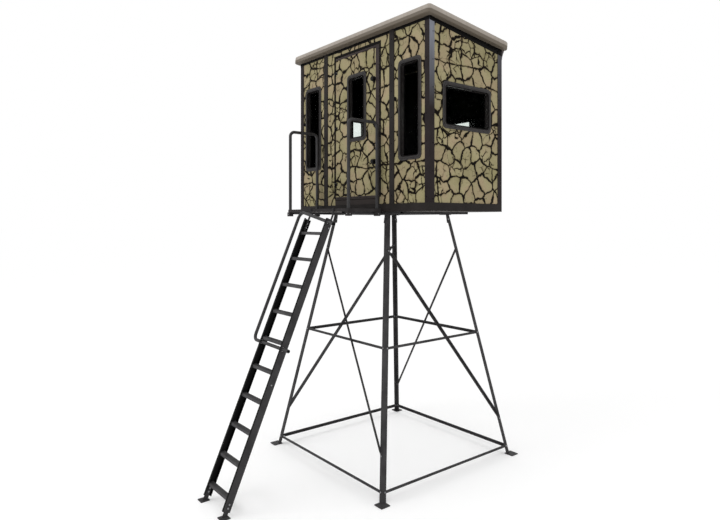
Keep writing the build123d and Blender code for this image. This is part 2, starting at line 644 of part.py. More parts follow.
def hinge_places(window):
    """Places of a sash's two hinges: local X away from the sash and local Y into the room."""
    plane, _, side = windows[window]
    width, height = clear_size(window)
    edge = side * (width / 2 + SASH_LAP + 8)
    depth = INSIDE - AXIS_LIFT
    spots = [plane.from_local_coords((edge, step * height * 0.32, depth)) for step in (-1, 1)]
    up = plane.y_dir * side
    return [Plane(origin=spot, x_dir=plane.x_dir * side, z_dir=up).location for spot in spots]


def make_gaskets(names):
    """Rubber surrounds: a rounded flange on the skin and a sleeve through the wall."""
    with BuildPart() as gaskets:
        for window in names:
            plane, (width, height), _ = windows[window]
            inner_w, inner_h = clear_size(window)
            with BuildSketch(plane):
                RectangleRounded(width, height, GASKET_R)
                RectangleRounded(inner_w, inner_h, GASKET_R / 2, mode=Mode.SUBTRACT)
            extrude(amount=GASKET_PROUD)
            with BuildSketch(plane):
                RectangleRounded(inner_w + 2 * GASKET_LIP, inner_h + 2 * GASKET_LIP, GASKET_R * 0.75)
                RectangleRounded(inner_w, inner_h, GASKET_R / 2, mode=Mode.SUBTRACT)
            extrude(amount=-PANEL_T)
    return gaskets


def make_sash(window):
    """Rim of an opening window, lying against the inside of the wall, with its hinge leaves."""
    plane = windows[window][0]
    side = windows[window][2]
    width, height = clear_size(window)
    outer_w, outer_h = width + 2 * SASH_LAP, height + 2 * SASH_LAP
    with BuildPart() as sash:
        with BuildSketch(plane.offset(-PANEL_T - SASH_PLAY)):
            RectangleRounded(outer_w, outer_h, 8)
            Rectangle(outer_w - 2 * SASH_RIM, outer_h - 2 * SASH_RIM, mode=Mode.SUBTRACT)
        extrude(amount=-SASH_T)
        with BuildSketch(plane.offset(INSIDE)):
            with Locations((-side * (outer_w / 2 - SASH_RIM / 2), 0)):
                RectangleRounded(14, 60, 4)
        extrude(amount=-14)
        with Locations(*hinge_places(window)):
            add(moving_leaf)
    return sash


def make_pane(window):
    """Glass of an opening window."""
    plane = windows[window][0]
    width, height = clear_size(window)
    rim = 2 * (SASH_RIM - SASH_LAP) + 2 * PANE_PLAY
    with BuildPart() as pane:
        with BuildSketch(plane.offset(-PANEL_T - SASH_PLAY - SASH_T / 2 + PANE_T / 2)):
            Rectangle(width - rim, height - rim)
        extrude(amount=-PANE_T)
    return pane


moving_leaf = hinge_moving()
window_bracket = hinge_fixed(AXIS_LIFT + SASH_T + SASH_PLAY)
wall_windows = [name for name in windows if name != "door"]
save(make_gaskets(wall_windows), "window_gaskets")
save(make_gaskets(["door"]), "door_window_gasket")
for window in windows:
    save(make_sash(window), f"sash_{window}")
    save(make_pane(window), f"pane_{window}")

for label, names in (("window_hinges", wall_windows), ("door_window_hinges", ["door"])):
    with BuildPart() as brackets:
        for window in names:
            with Locations(*hinge_places(window)):
                add(window_bracket)
    save(brackets, label)


# ---- wall panels, with the openings of their windows ----
def make_panel(x0, x1, y0, y1, names=()):
    """One wall panel in plan, standing on the sill, cut under the roof and for its windows."""
    with BuildPart() as panel:
        with BuildSketch(Plane.XY.offset(WALL_Z)):
            with Locations(((x0 + x1) / 2, (y0 + y1) / 2)):
                Rectangle(x1 - x0, y1 - y0)
        extrude(amount=STAND_H)
        split(bisect_by=ROOF_PLANE, keep=Keep.BOTTOM)
        for window in names:
            width, height = clear_size(window)
            with BuildSketch(windows[window][0].offset(1)):
                RectangleRounded(width + 2 * GASKET_LIP, height + 2 * GASKET_LIP, GASKET_R * 0.75)
            extrude(amount=-PANEL_T - 2, mode=Mode.SUBTRACT)
    return panel


front_in, back_in = SKIN_Y0 + PANEL_T, SKIN_Y1 - PANEL_T
batten_left, batten_right = CABIN_CX - BATTEN_X, CABIN_CX + BATTEN_X
opening_left = CABIN_CX - DOOR_W / 2 - DOOR_GAP
opening_right = CABIN_CX + DOOR_W / 2 + DOOR_GAP
opening_top = DECK_Z + DOOR_TOP + DOOR_GAP

save(make_panel(SKIN_X0, batten_left, SKIN_Y0, front_in, ["front_left"]), "front_panel_left")
save(make_panel(batten_right, SKIN_X1, SKIN_Y0, front_in, ["front_right"]), "front_panel_right")
side_span = (front_in, back_in)
save(make_panel(SKIN_X0, SKIN_X0 + PANEL_T, *side_span, ["side_left"]), "side_panel_left")
save(make_panel(SKIN_X1 - PANEL_T, SKIN_X1, *side_span, ["side_right"]), "side_panel_right")
save(make_panel(SKIN_X0, SKIN_X1, back_in, SKIN_Y1, ["back"]), "back_panel")

# Two strips beside the door and a header over it.
with BuildPart() as door_surround:
    with BuildSketch(Plane.XY.offset(WALL_Z)):
        for x0, x1 in ((batten_left, opening_left), (opening_right, batten_right)):
            with Locations(((x0 + x1) / 2, SKIN_Y0 + PANEL_T / 2)):
                Rectangle(x1 - x0, PANEL_T)
    extrude(amount=STAND_H)
    with BuildSketch(Plane.XY.offset(opening_top)):
        with Locations((CABIN_CX, SKIN_Y0 + PANEL_T / 2)):
            Rectangle(opening_right - opening_left, PANEL_T)
    extrude(amount=STAND_H)
    split(bisect_by=ROOF_PLANE, keep=Keep.BOTTOM)
save(door_surround, "door_surround")

# ---- door ----
door_low, door_top = DECK_Z + DOOR_LOW, DECK_Z + DOOR_TOP
door_left, door_right = CABIN_CX - DOOR_W / 2, CABIN_CX + DOOR_W / 2
door_mid_z, door_h = (door_low + door_top) / 2, door_top - door_low
DOOR_FACE = wall_plane(0, CABIN_CX, door_mid_z, -SKIN_Y0)
knob_faces = [wall_plane(0, door_right - KNOB_IN, DECK_Z + z, -SKIN_Y0) for z in KNOB_HEIGHTS]
SPINDLE_R, SPINDLE_BORE_R = 6, 6.06

with BuildPart() as door_leaf:
    with BuildSketch(DOOR_FACE):
        Rectangle(DOOR_W, door_h)
    extrude(amount=-PANEL_T)
    door_clear_w, door_clear_h = clear_size("door")
    with BuildSketch(windows["door"][0].offset(1)):
        RectangleRounded(
            door_clear_w + 2 * GASKET_LIP, door_clear_h + 2 * GASKET_LIP, GASKET_R * 0.75
        )
    extrude(amount=-PANEL_T - 2, mode=Mode.SUBTRACT)
    with Locations(*[face.location for face in knob_faces]):
        Cylinder(SPINDLE_BORE_R, 4 * PANEL_T, mode=Mode.SUBTRACT)
save(door_leaf, "door_leaf")

# Edge trim on three sides: a wide stile at the handle, narrow rails at the top and the bottom.
TRIM_TOP, TRIM_LOW = 24, 16
with BuildPart() as door_trim:
    with BuildSketch(DOOR_FACE):
        with Locations(((DOOR_W - DOOR_STILE) / 2, 0)):
            Rectangle(DOOR_STILE, door_h)
        with Locations((0, (door_h - TRIM_TOP) / 2)):
            Rectangle(DOOR_W, TRIM_TOP)
        with Locations((0, (TRIM_LOW - door_h) / 2)):
            Rectangle(DOOR_W, TRIM_LOW)
    extrude(amount=DOOR_TRIM_T)
save(door_trim, "door_trim")

# Stepped threshold between the sill and the door.
threshold_top = door_low - DOOR_GAP
threshold_profile = [
    (front_in, WALL_Z),
    (front_in, threshold_top),
    (CABIN_Y0 - 12, threshold_top),
    (CABIN_Y0 - 12, threshold_top - 14),
    (CABIN_Y0 - 4, threshold_top - 22),
    (CABIN_Y0 - 4, WALL_Z),
]
with BuildPart() as door_sill:
    with BuildSketch(Plane(origin=(opening_left, 0, 0), x_dir=(0, 1, 0), z_dir=(1, 0, 0))):
        with BuildLine():
            Polyline(*threshold_profile, close=True)
        make_face()
    extrude(amount=opening_right - opening_left)
save(door_sill, "door_sill")

hinge_x = door_left - DOOR_GAP / 2
hinge_spots = [(hinge_x, SKIN_Y0 - AXIS_LIFT, DECK_Z + z) for z in (360, 1065, 1770)]
door_hinge_places = [
    Plane(origin=spot, x_dir=(-1, 0, 0), z_dir=(0, 0, 1)).location for spot in hinge_spots
]
door_bracket = hinge_fixed(AXIS_LIFT)
with BuildPart() as door_hinges:
    with Locations(*door_hinge_places):
        add(door_bracket)
save(door_hinges, "door_hinges")

ROSE_R, ROSE_T, KNOB_R, KNOB_DEPTH = 32, 5, 27, 38
with BuildPart() as door_hardware:
    with Locations(*door_hinge_places):
        add(moving_leaf)
    for knob_face in knob_faces:
        for rose_plane in (knob_face, knob_face.offset(-PANEL_T - ROSE_T)):
            with BuildSketch(rose_plane):
                Circle(ROSE_R)
                Circle(SPINDLE_R + 1, mode=Mode.SUBTRACT)
            extrude(amount=ROSE_T)
save(door_hardware, "door_hardware")

# Two latch handles, each a knob inside and one outside on a common spindle.
KNOB_GAP = 0.5
knob_profile = [(0, 0), (13, 0), (13, 10), (KNOB_R, 20), (KNOB_R, 32), (20, KNOB_DEPTH), (0, KNOB_DEPTH)]


def latch_handle(knob_face):
    """Both knobs and their spindle, at one place on the door's face."""
    outer_foot, inner_foot = ROSE_T + KNOB_GAP, -PANEL_T - ROSE_T - KNOB_GAP
    with BuildPart() as handle:
        for foot, way in ((outer_foot, 1), (inner_foot, -1)):
            knob_plane = Plane(
                origin=knob_face.offset(foot).origin, x_dir=(1, 0, 0), z_dir=(0, 0, 1)
            )
            with BuildSketch(knob_plane):
                with BuildLine():
                    Polyline(*[(r, -way * depth) for r, depth in knob_profile], close=True)
                make_face()
            revolve(axis=Axis(knob_plane.origin, (0, 1, 0)))
        with Locations(knob_face.offset((outer_foot + inner_foot) / 2).location):
            Cylinder(SPINDLE_R, outer_foot - inner_foot)
    return handle


for knob_name, knob_face in zip(("door_knob_lower", "door_knob_upper"), knob_faces):
    save(latch_handle(knob_face), knob_name)

# ---- roof: a moulded cap with a rounded lip, hollow above the soffit, and a ceiling in it ----
slope_w = CABIN_W / cos(ROOF_PITCH)  # the cabin's depth, along the roof plane
roof_l = CABIN_L + 2 * ROOF_END
roof_w = slope_w + ROOF_FRONT + ROOF_BACK
CEILING_MID = ROOF_PLANE.offset(0)
CEILING_MID.origin = ROOF_PLANE.origin + ROOF_PLANE.y_dir * (slope_w / 2)
ROOF_MID = ROOF_PLANE.offset(0)
ROOF_MID.origin = CEILING_MID.origin + ROOF_PLANE.y_dir * ((ROOF_BACK - ROOF_FRONT) / 2)
with BuildPart() as roof_cap:
    with BuildSketch(ROOF_MID):
        RectangleRounded(roof_l, roof_w, ROOF_CORNER)
    extrude(amount=ROOF_H)
    outer_faces = roof_cap.faces().sort_by(Axis(ROOF_MID.origin, ROOF_MID.z_dir))
    fillet(outer_faces[-1].edges(), 32)
    fillet(outer_faces[0].edges(), 9)
    with BuildSketch(ROOF_MID.offset(ROOF_SKIN)):
        RectangleRounded(roof_l - 3 * ROOF_SKIN, roof_w - 3 * ROOF_SKIN, ROOF_CORNER - ROOF_SKIN)
    extrude(amount=ROOF_H - 3 * ROOF_SKIN, mode=Mode.SUBTRACT)
    with BuildSketch(CEILING_MID):
        Rectangle(floor_x, floor_y)
    extrude(amount=ROOF_SKIN, mode=Mode.SUBTRACT)
save(roof_cap, "roof_cap")

with BuildPart() as ceiling_panel:
    with BuildSketch(CEILING_MID.offset(ROOF_SKIN)):
        Rectangle(floor_x + 40, floor_y + 40)
    extrude(amount=6)
save(ceiling_panel, "ceiling_panel")
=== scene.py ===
import math
import random

import bmesh
import bpy
from mathutils import Matrix, Vector


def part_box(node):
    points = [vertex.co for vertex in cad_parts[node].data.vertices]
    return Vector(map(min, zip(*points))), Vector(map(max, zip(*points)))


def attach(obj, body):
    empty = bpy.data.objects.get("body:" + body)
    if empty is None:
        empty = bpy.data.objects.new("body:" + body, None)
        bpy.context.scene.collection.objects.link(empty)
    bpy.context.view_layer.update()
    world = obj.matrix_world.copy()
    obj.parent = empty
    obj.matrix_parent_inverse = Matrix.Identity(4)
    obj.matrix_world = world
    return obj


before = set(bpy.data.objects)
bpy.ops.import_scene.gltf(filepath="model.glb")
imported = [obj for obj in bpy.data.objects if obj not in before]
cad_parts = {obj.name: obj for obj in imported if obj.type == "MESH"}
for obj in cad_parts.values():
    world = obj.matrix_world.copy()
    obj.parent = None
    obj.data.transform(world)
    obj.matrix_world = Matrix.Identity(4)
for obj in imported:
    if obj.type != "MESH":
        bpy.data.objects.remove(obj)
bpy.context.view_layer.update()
random.seed(11)  # for the turns of the screws and the wander of the weld beads

ACROSS = Vector((1, 0, 0))
INWARD = Vector((0, 1, 0))  # from the door wall into the cabin
UP = Vector((0, 0, 1))

# ---- sizes that the frame gives (metres) ----
posts_low, posts_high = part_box("corner_posts")
CABIN_MID = (posts_low + posts_high) / 2
CABIN_HALF = (posts_high - posts_low) / 2
POST_W, POST_T = 0.073, 0.006  # a corner post's flange; the wall skins stand back by its thickness
PANEL_T = 0.035
DECK_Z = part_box("base_sill")[0].z
WALL_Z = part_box("base_sill")[1].z
SKIN_LOW = posts_low + Vector((POST_T, POST_T, 0))
SKIN_HIGH = posts_high - Vector((POST_T, POST_T, 0))
FRONT_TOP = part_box("front_panel_right")[1].z
BACK_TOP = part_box("back_panel")[1].z
ROOF_SLOPE = (FRONT_TOP - BACK_TOP) / (SKIN_HIGH.y - PANEL_T - SKIN_LOW.y)
LIP_SHADE_BAND = 0.040  # height of the roof lip's lower band, where the lip and the soffit get painted shade
leaf_low, leaf_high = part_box("door_leaf")
LADDER_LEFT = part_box("ladder_rail_left")[0].x
LADDER_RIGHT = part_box("ladder_rail_right")[1].x
LADDER_WEB_T = 0.003
WINDOWS = [name[len("pane_"):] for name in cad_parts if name.startswith("pane_")]


def roof_z(y):
    """Height of the roof plane, where the walls end, at a Y."""
    return FRONT_TOP - (y - SKIN_LOW.y) * ROOF_SLOPE


# ---- materials ----
def srgb(red, green, blue):
    """A display colour, 0 to 255, as a linear one with alpha."""
    def linear(value):
        share = value / 255
        return share / 12.92 if share <= 0.04045 else ((share + 0.055) / 1.055) ** 2.4

    return (linear(red), linear(green), linear(blue), 1.0)


class Shader:
    """A material with short calls for the nodes that this scene uses."""

    def __init__(self, name, roughness, metallic=0.0, specular=0.5):
        self.material = bpy.data.materials.new(name)
        self.material.use_nodes = True
        self.tree = self.material.node_tree
        self.bsdf = self.tree.nodes["Principled BSDF"]
        self.bsdf.inputs["Roughness"].default_value = roughness
        self.bsdf.inputs["Metallic"].default_value = metallic
        self.bsdf.inputs["Specular IOR Level"].default_value = specular
        self.place = self.node("ShaderNodeTexCoord").outputs["Object"]

    def node(self, kind, inputs=None, **settings):
        made = self.tree.nodes.new(kind)
        for key, value in settings.items():
            setattr(made, key, value)
        for key, value in (inputs or {}).items():
            self.feed(made.inputs[key], value)
        return made

    def feed(self, socket, value):
        if isinstance(value, bpy.types.NodeSocket):
            self.tree.links.new(value, socket)
        else:
            socket.default_value = value

    def math(self, operation, first, second=0.0):
        return self.node("ShaderNodeMath", {0: first, 1: second}, operation=operation).outputs[0]

    def vector(self, operation, inputs):
        return self.node("ShaderNodeVectorMath", inputs, operation=operation).outputs[0]

    def axes(self):
        """X, Y and Z in the object's frame."""
        return tuple(self.node("ShaderNodeSeparateXYZ", {0: self.place}).outputs)

    def noise(self, scale, detail, roughness=0.55, place=None, distortion=0.0):
        inputs = {
            "Vector": place or self.place,
            "Scale": scale,
            "Detail": detail,
            "Roughness": roughness,
            "Distortion": distortion,
        }
        return self.node("ShaderNodeTexNoise", inputs).outputs["Fac"]

    def drift(self, place, reach, scale, detail, roughness=0.5):
        """A shift that varies from place to place, by up to half of reach each way."""
        inputs = {"Vector": place, "Scale": scale, "Detail": detail, "Roughness": roughness}
        cloud = self.node("ShaderNodeTexNoise", inputs).outputs["Color"]
        centred = self.vector("SUBTRACT", {0: cloud, 1: (0.5, 0.5, 0.5)})
        return self.vector("SCALE", {0: centred, "Scale": reach})

    def stretched(self, x, y, z):
        inputs = {"Vector": self.place, "Scale": (x, y, z)}
        return self.node("ShaderNodeMapping", inputs).outputs["Vector"]

    def spread(self, value, low, high, to_low=0.0, to_high=1.0, smooth=False):
        """Maps low..high to to_low..to_high, clamped."""
        inputs = {"Value": value, "From Min": low, "From Max": high, "To Min": to_low, "To Max": to_high}
        kind = "SMOOTHSTEP" if smooth else "LINEAR"
        return self.node("ShaderNodeMapRange", inputs, interpolation_type=kind).outputs["Result"]

    def ramp(self, value, stops):
        made = self.node("ShaderNodeValToRGB", {"Fac": value})
        elements = made.color_ramp.elements
        while len(elements) < len(stops):
            elements.new(0.5)
        for element, (position, colour) in zip(elements, stops):
            element.position = position
            element.color = colour
        return made.outputs["Color"]

    def mix(self, share, first, second):
        made = self.node("ShaderNodeMix", data_type="RGBA")
        self.feed(made.inputs["Factor"], share)
        self.feed(made.inputs[6], first)
        self.feed(made.inputs[7], second)
        return made.outputs[2]

    def colour(self, value):
        self.feed(self.bsdf.inputs["Base Color"], value)

    def rough(self, value):
        self.feed(self.bsdf.inputs["Roughness"], value)

    def bump(self, height, depth, strength):
        """Bump of a height field; depth is in metres."""
        inputs = {"Height": height, "Distance": depth, "Strength": strength}
        made = self.node("ShaderNodeBump", inputs)
        self.feed(self.bsdf.inputs["Normal"], made.outputs["Normal"])


def powder_coat(name, dark, light, roughness=0.55, specular=0.08, shaded_hollow=None):
    """Satin powder coat: an orange-peel surface, faint mottling, and dust and scuffs in patches.

    shaded_hollow is (middle X, half width): between those limits the colour is a near-black painted shade,
    standing in for the shadow inside a channel.
    """
    coat = Shader(name, roughness, specular=specular)
    mottle = coat.noise(7.0, 4.0)
    tone = coat.ramp(mottle, [(0.3, srgb(*dark)), (0.7, srgb(*light))])
    scuff = coat.noise(38.0, 6.0, 0.7, coat.stretched(1.0, 1.0, 0.25))
    scuffed = coat.spread(scuff, 0.62, 0.72)
    worn = tuple(min(255, channel + 30) for channel in light)
    tone = coat.mix(coat.math("MULTIPLY", scuffed, 0.3), tone, srgb(*worn))
    # Painted shade: inside the channel the paint turns near black, standing in for the shadow there.
    if shaded_hollow:
        middle_x, half_width = shaded_hollow
        out = coat.math("ABSOLUTE", coat.math("SUBTRACT", coat.axes()[0], middle_x))
        tone = coat.mix(coat.math("LESS_THAN", out, half_width), tone, srgb(6, 6, 6))
    coat.colour(tone)
    coat.rough(coat.spread(mottle, 0.25, 0.75, roughness - 0.07, roughness + 0.1))
    coat.bump(coat.noise(420.0, 2.0), 0.0004, 0.5)
    return coat.material


def painted_sheen_share(trim):
    """How strong the painted sheen on the end walls' corner flanges is: a bluish-grey painted reflection,
    most at the top of the front ones.
    """
    x, y, z = trim.axes()
    out = trim.math("ABSOLUTE", trim.math("SUBTRACT", x, CABIN_MID.x))
    on_end = trim.spread(out, CABIN_HALF.x - 0.003, CABIN_HALF.x - 0.001)
    top = trim.spread(z, WALL_Z + 1.00, posts_high.z - 0.1)
    front = trim.spread(y, posts_low.y + 0.1, posts_high.y - 0.1, 0.95, 0.30)
    streaks = trim.spread(trim.noise(14.0, 4.0, 0.6, trim.stretched(3.0, 3.0, 0.3)), 0.3, 0.7, 0.7, 1.0)
    return trim.math("MULTIPLY", trim.math("MULTIPLY", on_end, top), trim.math("MULTIPLY", front, streaks))


def satin_trim(name, dark, light, roughness=0.45, specular=0.08, painted_sheen=False):
    """Extruded dark trim: fine lengthwise drawing lines and a thin film of dust."""
    trim = Shader(name, roughness, specular=specular)
    lines = trim.noise(24.0, 5.0, 0.6, trim.stretched(9.0, 9.0, 0.12))
    cloud = trim.noise(3.5, 4.0)
    tone = trim.ramp(cloud, [(0.3, srgb(*dark)), (0.7, srgb(*light))])
    dusty = tuple(channel + 14 for channel in light)
    tone = trim.mix(trim.spread(lines, 0.55, 0.8, 0.0, 0.4), tone, srgb(*dusty))
    # Painted sheen: a bluish-grey painted reflection on the end flanges, fading downwards.
    if painted_sheen:
        tone = trim.mix(painted_sheen_share(trim), tone, srgb(128, 131, 140))
    trim.colour(tone)
    trim.rough(trim.spread(lines, 0.3, 0.7, roughness - 0.08, roughness + 0.12))
    trim.bump(lines, 0.0003, 0.35)
    return trim.material


class CrackPattern:
    """Dried-mud cracks that run round the walls: large cells, smaller ones in patches, and hairlines."""

    CELLS = 5.8  # large cells to a metre

    def __init__(self, film, flat):
        self.film = film
        shifted = film.vector("ADD", {0: flat, 1: film.drift(flat, 0.13, 5.0, 2.0)})
        self.place = film.vector("ADD", {0: shifted, 1: film.drift(flat, 0.050, 19.0, 5.0, 0.65)})
        swell = film.noise(8.0, 3.0, place=flat)
        self.large = self.cells(1.0, "DISTANCE_TO_EDGE", "Distance")
        self.small = self.cells(1.75, "DISTANCE_TO_EDGE", "Distance")
        self.small_patches = film.spread(film.noise(2.6, 2.0, place=flat), 0.53, 0.57)
        main = self.cracks(self.large, film.spread(swell, 0.36, 0.64, 0.032, 0.095))
        second = self.cracks(self.small, film.spread(swell, 0.36, 0.64, 0.030, 0.085))
        self.lines = film.math("MAXIMUM", main, film.math("MULTIPLY", second, self.small_patches))
        hair = self.cracks(self.cells(3.3, "DISTANCE_TO_EDGE", "Distance"), 0.045)
        hair_patches = film.spread(film.noise(9.0, 2.0, place=flat), 0.58, 0.66)
        self.hairlines = film.math("MULTIPLY", hair, hair_patches)

    def cells(self, finer, feature, output):
        inputs = {"Vector": self.place, "Scale": self.CELLS * finer, "Randomness": 0.82}
        settings = {"voronoi_dimensions": "2D", "feature": feature}
        return self.film.node("ShaderNodeTexVoronoi", inputs, **settings).outputs[output]

    def cracks(self, distance, half_width):
        """1 on a crack and 0 off it; half_width is in cell units and may vary."""
        inner = self.film.math("MULTIPLY", half_width, 0.7)
        outer = self.film.math("MULTIPLY", half_width, 1.3)
        return self.film.spread(distance, inner, outer, 1.0, 0.0, smooth=True)


def cracked_clay(film, flat, pattern, grain):
    """Khaki clay in cloudy shades, darker beside each crack, with blotches."""
    clay = film.ramp(film.noise(2.4, 4.0, 0.6, flat), [
        (0.34, srgb(145, 138, 102)),
        (0.48, srgb(158, 149, 116)),
        (0.60, srgb(161, 144, 117)),
        (0.72, srgb(168, 159, 126)),
    ])
    tint = film.node("ShaderNodeSeparateColor", {0: pattern.cells(1.0, "F1", "Color")}).outputs[0]
    clay = film.mix(film.spread(tint, 0.0, 1.0, 0.0, 0.40), clay, srgb(118, 112, 82))
    clay = film.mix(film.spread(grain, 0.35, 0.65, 0.28, 0.0), clay, srgb(92, 82, 58))
    crack_edge = srgb(92, 80, 54)
    clay = film.mix(film.spread(pattern.large, 0.0, 0.17, 0.62, 0.0, smooth=True), clay, crack_edge)
    near_small = film.spread(pattern.small, 0.0, 0.17, 0.55, 0.0, smooth=True)
    clay = film.mix(film.math("MULTIPLY", near_small, pattern.small_patches), clay, crack_edge)
    blotch = film.spread(film.noise(17.0, 5.0, 0.75, flat), 0.58, 0.68)
    return film.mix(film.math("MULTIPLY", blotch, 0.40), clay, srgb(80, 68, 48))


def cracked_panel():
    """Khaki wall film with a dark dried-mud pattern outside, and a plain dark lining inside."""
    film = Shader("cracked_film", 0.65, specular=0.03)
    x, y, z = film.axes()
    flat = film.node("ShaderNodeCombineXYZ", {0: film.math("ADD", x, y), 1: z}).outputs[0]
    grain = film.noise(70.0, 5.0, 0.7, flat)
    pattern = CrackPattern(film, flat)
    clay = cracked_clay(film, flat, pattern, grain)
    clay = film.mix(film.math("MULTIPLY", pattern.hairlines, 0.80), clay, srgb(44, 36, 26))
    outside = film.mix(pattern.lines, clay, srgb(13, 9, 6))

    depth_x = film.math("ABSOLUTE", film.math("SUBTRACT", x, CABIN_MID.x))
    depth_y = film.math("ABSOLUTE", film.math("SUBTRACT", y, CABIN_MID.y))
    lining = POST_T + PANEL_T - 0.002
    in_x = film.math("LESS_THAN", depth_x, CABIN_HALF.x - lining)
    in_y = film.math("LESS_THAN", depth_y, CABIN_HALF.y - lining)
    inside = film.math("MULTIPLY", in_x, in_y)
    felt = film.ramp(film.noise(240.0, 3.0), [(0.3, srgb(7, 7, 7)), (0.7, srgb(13, 12, 12))])
    film.colour(film.mix(inside, outside, felt))
    film.rough(film.spread(grain, 0.3, 0.7, 0.48, 0.66))
    sunk = film.math("MULTIPLY", pattern.lines, -0.6)
    film.bump(film.math("ADD", film.math("MULTIPLY", grain, 0.4), sunk), 0.0012, 0.6)
    return film.material


def roof_skin():
    """Greige moulded shell: pebbled, cloudy, rain-marked, with painted shade browning the lip's lower band
    and the soffit.
    """
    shell = Shader("roof_skin", 0.55, specular=0.2)
    cloud = shell.noise(2.6, 5.0, 0.6)
    tone = shell.ramp(cloud, [(0.3, srgb(142, 134, 125)), (0.7, srgb(160, 152, 143))])
    rain = shell.noise(9.0, 5.0, 0.65, shell.stretched(3.0, 3.0, 0.25))
    tone = shell.mix(shell.spread(rain, 0.50, 0.75, 0.0, 0.40), tone, srgb(112, 103, 92))
    speck = shell.noise(150.0, 4.0, 0.7)
    tone = shell.mix(shell.spread(speck, 0.58, 0.7, 0.0, 0.3), tone, srgb(112, 104, 92))
    y, z = shell.axes()[1:]
    fall = shell.math("MULTIPLY", shell.math("SUBTRACT", y, SKIN_LOW.y), ROOF_SLOPE)
    rise = shell.math("ADD", shell.math("SUBTRACT", z, FRONT_TOP), fall)
    # Painted shade: below this height over the roof plane, the lip and the soffit are mixed towards dark
    # brown.
    band = shell.spread(rise, LIP_SHADE_BAND - 0.003, LIP_SHADE_BAND + 0.001, 1.0, 0.0)
    tone = shell.mix(shell.math("MULTIPLY", band, 0.85), tone, srgb(84, 75, 63))
    shell.colour(tone)
    shell.rough(shell.spread(cloud, 0.3, 0.7, 0.45, 0.62))
    shell.bump(shell.noise(260.0, 3.0, 0.6), 0.0008, 0.5)
    return shell.material


def seal_rubber(name, dark, light, specular):
    """Moulded rubber with a dull bloom."""
    rubber = Shader(name, 0.40, specular=specular)
    bloom = rubber.noise(22.0, 5.0, 0.65)
    rubber.colour(rubber.ramp(bloom, [(0.35, srgb(*dark)), (0.68, srgb(*light))]))
    rubber.rough(rubber.spread(bloom, 0.3, 0.7, 0.28, 0.5))
    rubber.bump(rubber.noise(500.0, 2.0), 0.0003, 0.4)
    return rubber.material


def window_glass():
    """Clear float glass: it lets light straight through, with a faint gloss, tint and dust."""
    glass = Shader("window_glass", 0.03)
    glass.bsdf.inputs["Transmission Weight"].default_value = 1.0
    glass.bsdf.inputs["IOR"].default_value = 1.12
    dust = glass.noise(9.0, 6.0, 0.7)
    tint = glass.ramp(dust, [(0.3, srgb(252, 254, 253)), (0.8, srgb(240, 243, 241))])
    glass.colour(tint)
    through = glass.node("ShaderNodeBsdfTransparent", {"Color": tint}).outputs[0]
    share = glass.spread(dust, 0.5, 0.9, 0.01, 0.04)
    blend = glass.node("ShaderNodeMixShader", {0: share, 1: through, 2: glass.bsdf.outputs[0]}).outputs[0]
    output = next(node for node in glass.tree.nodes if node.type == "OUTPUT_MATERIAL")
    glass.feed(output.inputs["Surface"], blend)
    return glass.material


def stained_board(name, dark, light):
    """Board with its grain along X and darker growth lines."""
    board = Shader(name, 0.6, specular=0.12)
    grain = board.noise(6.0, 8.0, 0.65, board.stretched(0.6, 14.0, 14.0), 1.2)
    tone = board.ramp(grain, [(0.32, srgb(*dark)), (0.55, srgb(*light)), (0.72, srgb(*dark))])
    board.colour(tone)
    board.rough(board.spread(grain, 0.3, 0.7, 0.5, 0.72))
    board.bump(grain, 0.0012, 0.6)
    return board.material


def bare_metal(name, dark, light, roughness):
    """Zinc-plated metal with fine scratches."""
    metal = Shader(name, roughness, metallic=1.0)
    wear = metal.noise(60.0, 6.0, 0.7)
    metal.colour(metal.ramp(wear, [(0.3, srgb(*dark)), (0.7, srgb(*light))]))
    metal.rough(metal.spread(wear, 0.3, 0.7, roughness - 0.1, roughness + 0.15))
    metal.bump(metal.noise(300.0, 3.0), 0.0002, 0.5)
    return metal.material


def moulded_plastic(name, dark, light):
    """Cloudy plastic board with a fine moulded grain."""
    plastic = Shader(name, 0.5, specular=0.4)
    cloud = plastic.noise(30.0, 4.0)
    plastic.colour(plastic.ramp(cloud, [(0.35, srgb(*dark)), (0.65, srgb(*light))]))
    plastic.rough(plastic.spread(cloud, 0.3, 0.7, 0.42, 0.6))
    plastic.bump(plastic.noise(600.0, 2.0), 0.0003, 0.5)
    return plastic.material


TOWER_PAINT = powder_coat("tower_paint", (42, 41, 42), (62, 61, 62), 0.5, 0.12)
LADDER_PAINT = powder_coat("ladder_paint", (48, 47, 48), (64, 63, 64))
# Painted light: the treads get a lighter copy of the ladder paint, standing in for their lit tops.
TREAD_LIT_PAINT = powder_coat("tread_lit_paint", (56, 55, 56), (80, 79, 80))
# Painted shade: the rails' paint is near black between their flanges, for the shadow inside the channel.
LADDER_SHADED_HOLLOW = ((LADDER_LEFT + LADDER_RIGHT) / 2, (LADDER_RIGHT - LADDER_LEFT) / 2 - LADDER_WEB_T / 2)
CHANNEL_SHADED_PAINT = powder_coat("channel_shaded_paint", (46, 45, 46), (62, 61, 62), shaded_hollow=LADDER_SHADED_HOLLOW)
RAIL_PAINT = powder_coat("rail_paint", (40, 39, 40), (56, 55, 56), 0.42, 0.2)
PORCH_PAINT = powder_coat("porch_paint", (38, 36, 36), (52, 49, 49))
BLACK_PAINT = powder_coat("black_paint", (8, 7, 7), (15, 14, 14), 0.5, 0.04)
KNOB_PAINT = powder_coat("knob_paint", (10, 9, 9), (20, 18, 18), 0.4, 0.12)
TRIM = satin_trim("cabin_trim", (27, 24, 22), (39, 35, 34))
COVE_TRIM = satin_trim("cove_trim", (76, 69, 71), (98, 91, 93))
